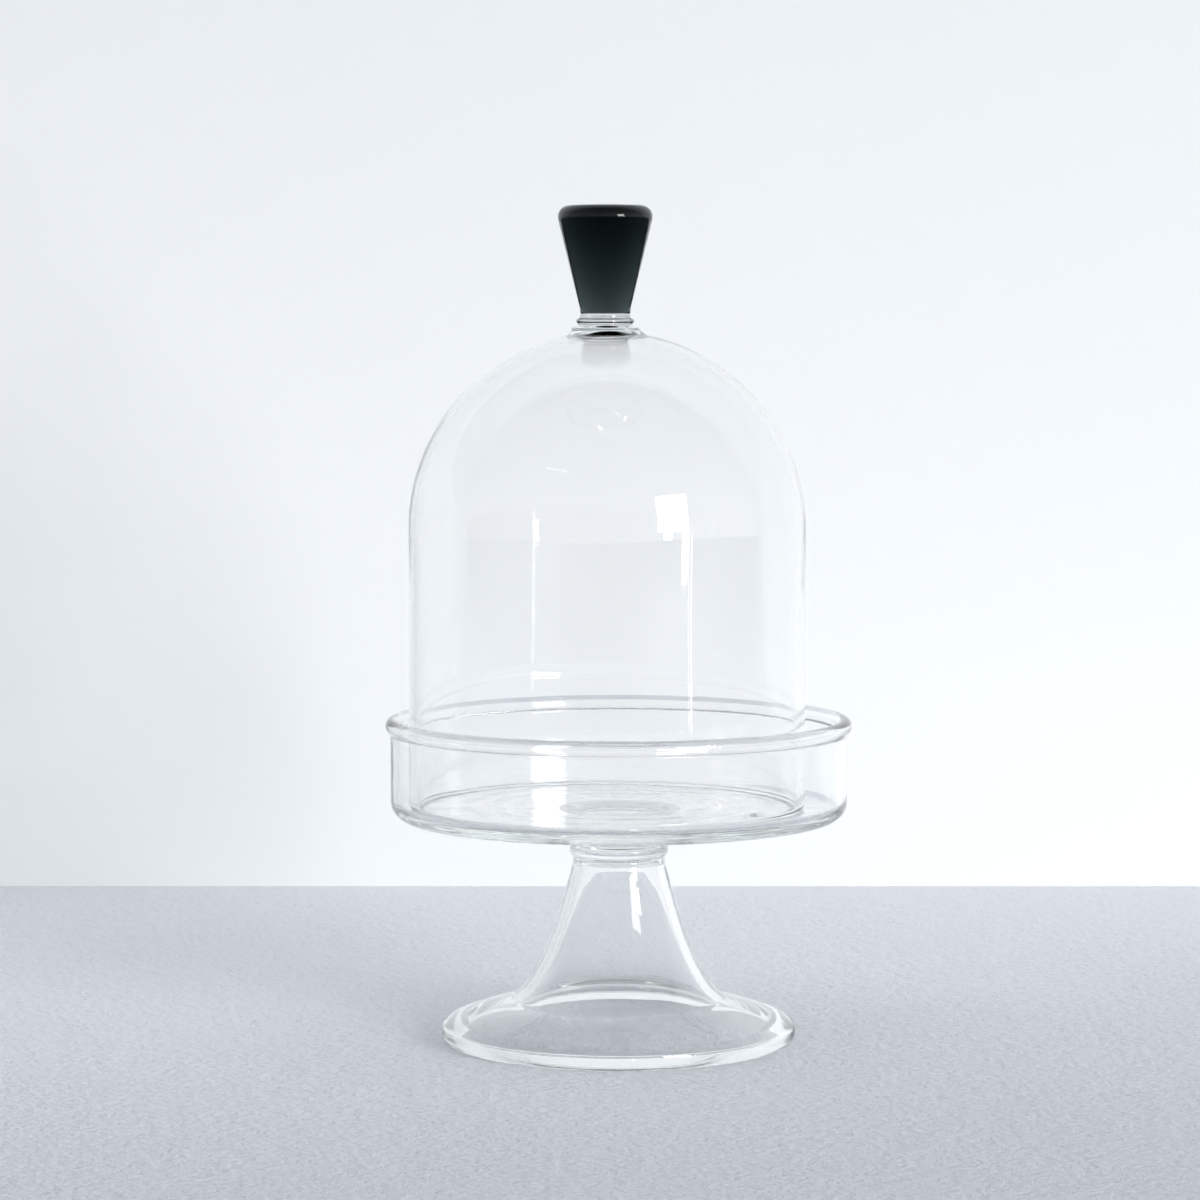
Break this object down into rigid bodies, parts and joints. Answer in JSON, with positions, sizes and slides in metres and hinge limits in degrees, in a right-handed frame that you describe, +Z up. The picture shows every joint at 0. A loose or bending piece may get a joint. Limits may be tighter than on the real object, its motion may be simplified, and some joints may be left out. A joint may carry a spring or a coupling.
{
  "type": "footed glass cloche",
  "caption": "Footed glass dish with a rolled rim, on a hollow flared foot, with a loose round-topped bell jar dome lifted by a tapered dark glass knob.",
  "frame": {"origin": "centre of the foot's flat resting ring, on the surface the object stands on", "axes": "+Z up through the stem; +X to the right of the object's front, +Y to its back; the loose dome stands 3.1 mm off the stem's axis towards -X"},
  "size_m": [0.125, 0.125, 0.224],
  "materials": {
    "clear_glass": "fire polished",
    "clear_glass_thick": "fire polished",
    "smoked_glass": "fire polished"
  },
  "bodies": {
    "stand": {"foot": "clear_glass", "stem_button": "clear_glass_thick", "dish": "clear_glass"},
    "dome": {"dome_shell": "clear_glass", "knob_collar": "clear_glass_thick", "knob": "smoked_glass"}
  },
  "joints": [
    {"name": "dome_lift", "type": "slide", "parent": "stand", "child": "dome", "axis": [0, 0, 1], "range_m": [0, 0.16]}
  ]
}
